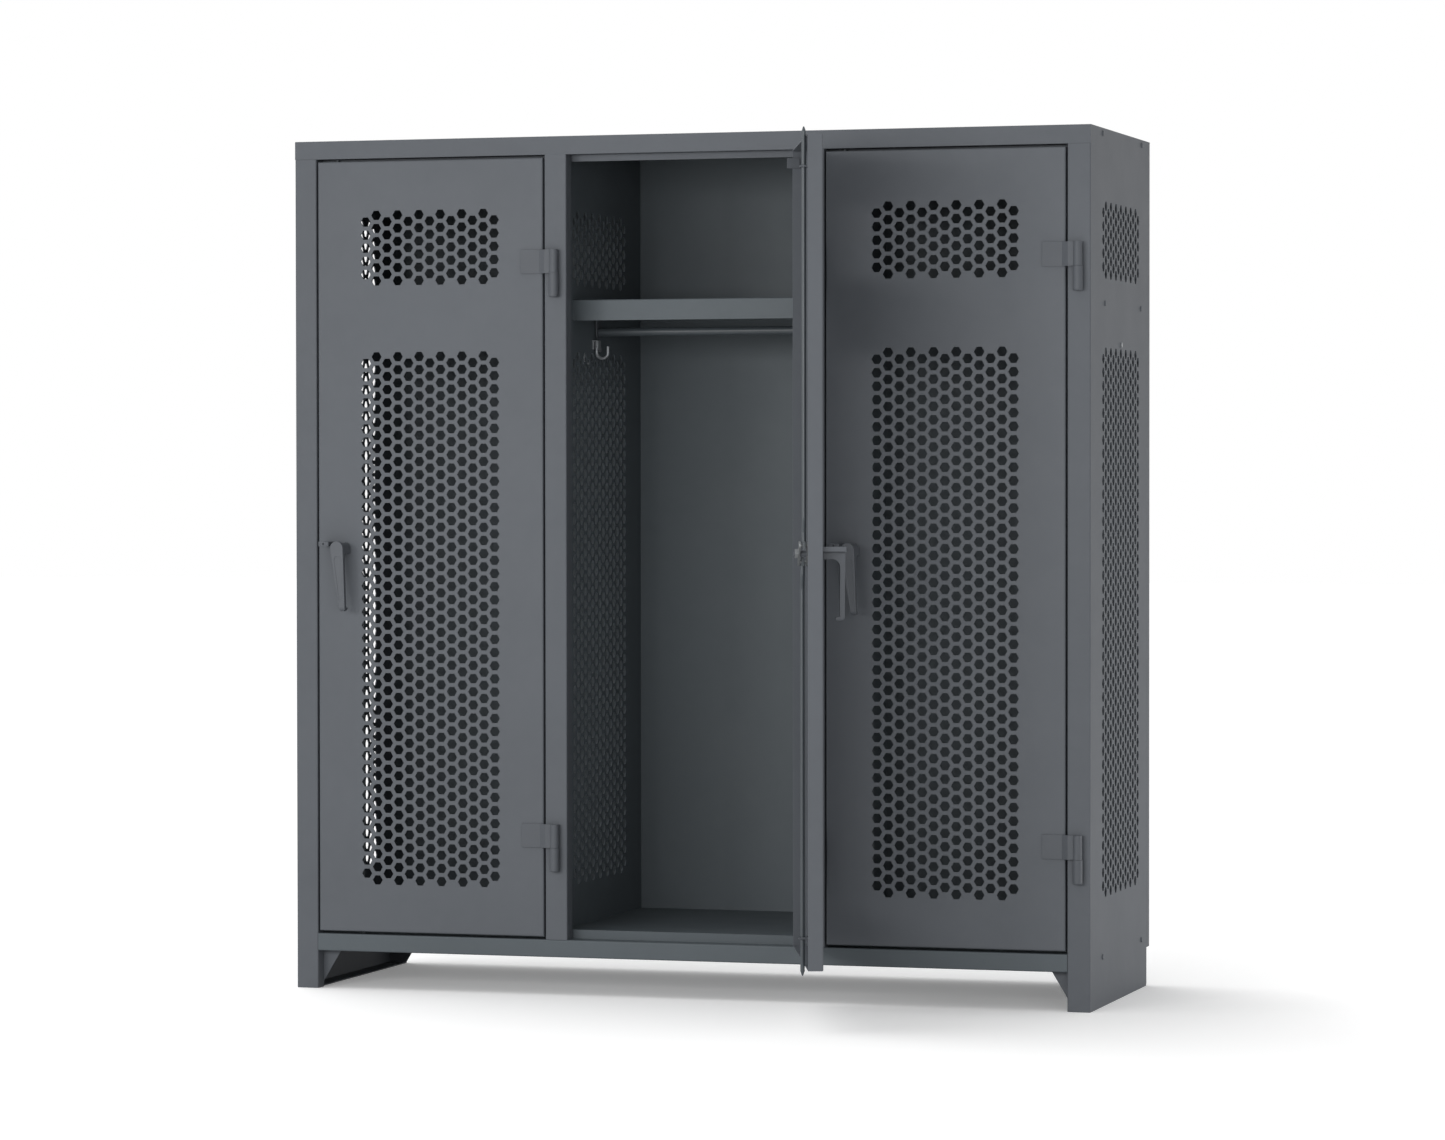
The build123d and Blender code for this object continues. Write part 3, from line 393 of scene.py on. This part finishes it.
def floor_finish():
    """Pale studio floor: white to the camera where it is lit, and darker in the locker's shadow."""
    finish = Finish("studio_floor")
    tree = finish.tree
    seen = finish.add("ShaderNodeLightPath", {}, {}, "Is Camera Ray")
    grain = finish.noise(finish.add("ShaderNodeTexCoord", {}, {}, "Object"), 60.0)
    pale = finish.mix(grain, (0.79, 0.79, 0.79, 1), (0.81, 0.81, 0.81, 1))
    shown_pale = finish.mix(grain, (0.94, 0.94, 0.94, 1), (0.96, 0.96, 0.96, 1))
    finish.join(finish.shader, {"Base Color": finish.mix(seen, pale, shown_pale),
                                "Roughness": 0.9, "Specular IOR Level": 0.1})
    lift = finish.add("ShaderNodeEmission", {}, {"Color": (1, 1, 1, 1), "Strength": floor_lift})
    matt = Value(finish, finish.shader.outputs[0])
    added = finish.add("ShaderNodeAddShader", {}, {0: matt, 1: lift})
    shown = finish.add("ShaderNodeMixShader", {}, {0: seen, 1: matt, 2: added})
    tree.links.new(shown.socket, tree.nodes["Material Output"].inputs[0])
    return finish.material


floor_mesh = bpy.data.meshes.new("studio_floor")
floor_corners = [(a * floor_reach, b * floor_reach, 0) for a, b in ((-1, -1), (1, -1), (1, 1), (-1, 1))]
floor_mesh.from_pydata(floor_corners, [], [(0, 1, 2, 3)])
floor_mesh.materials.append(floor_finish())
floor = bpy.data.objects.new("studio_floor", floor_mesh)
bpy.context.scene.collection.objects.link(floor)

world = bpy.data.worlds.new("studio")
world.use_nodes = True
bpy.context.scene.world = world
tree = world.node_tree
path = tree.nodes.new("ShaderNodeLightPath")
seen = tree.nodes.new("ShaderNodeMath")
seen.operation = "MAXIMUM"
tree.links.new(path.outputs["Is Camera Ray"], seen.inputs[0])
tree.links.new(path.outputs["Is Transmission Ray"], seen.inputs[1])
lit = tree.nodes.new("ShaderNodeMath")
lit.operation = "MAXIMUM"
tree.links.new(seen.outputs[0], lit.inputs[0])
tree.links.new(path.outputs["Is Glossy Ray"], lit.inputs[1])
level = tree.nodes.new("ShaderNodeMapRange")
tree.links.new(lit.outputs[0], level.inputs["Value"])
level.inputs["To Min"].default_value = room_level
level.inputs["To Max"].default_value = 1.0
tree.links.new(level.outputs[0], tree.nodes["Background"].inputs["Strength"])
tree.nodes["Background"].inputs["Color"].default_value = (1, 1, 1, 1)


def lamp(name, spot, aim, width, height, watts):
    """A soft rectangular lamp that faces its aim."""
    data = bpy.data.lights.new(name, "AREA")
    data.shape, data.size, data.size_y, data.energy = "RECTANGLE", width, height, watts
    piece = bpy.data.objects.new(name, data)
    piece.location = spot
    piece.rotation_euler = (Vector(aim) - Vector(spot)).to_track_quat("-Z", "Y").to_euler()
    bpy.context.scene.collection.objects.link(piece)


lamp("front_softbox", (-0.5, -7.3, 1.75), (0, 0, 0.95), 3.4, 1.8, 140)
lamp("left_key", (-3.0, -6.8, 2.0), (0, 0, 0.95), 1.3, 1.3, 78)
lamp("right_fill", (3.9, -6.6, 1.5), (0.4, 0, 0.95), 2.6, 1.9, 64)
lamp("low_side_fill", (2.2, 0.25, 0.16), (0.92, 0, 0.16), 0.9, 0.25, 6)

sun = bpy.data.objects.new("rear_left_sky", bpy.data.lights.new("rear_left_sky", "SUN"))
sun.data.energy = 1.75
sun.data.angle = 1.3
sun.rotation_euler = Vector((1.45, -0.40, -1.9)).to_track_quat("-Z", "Y").to_euler()
bpy.context.scene.collection.objects.link(sun)

camera = bpy.data.objects.new("photo_camera", bpy.data.cameras.new("photo_camera"))
camera.data.sensor_fit = "HORIZONTAL"
camera.data.sensor_width = 36.0
camera.data.lens = 120.218
camera.data.clip_end = 200.0
camera.location = (3.1830, -10.41975, 1.15437)
camera.rotation_euler = (radians(90 - 1.1243), 0.001061, radians(17.0014))
bpy.context.scene.collection.objects.link(camera)
bpy.context.scene.camera = camera

bpy.context.scene.view_settings.view_transform = "Standard"
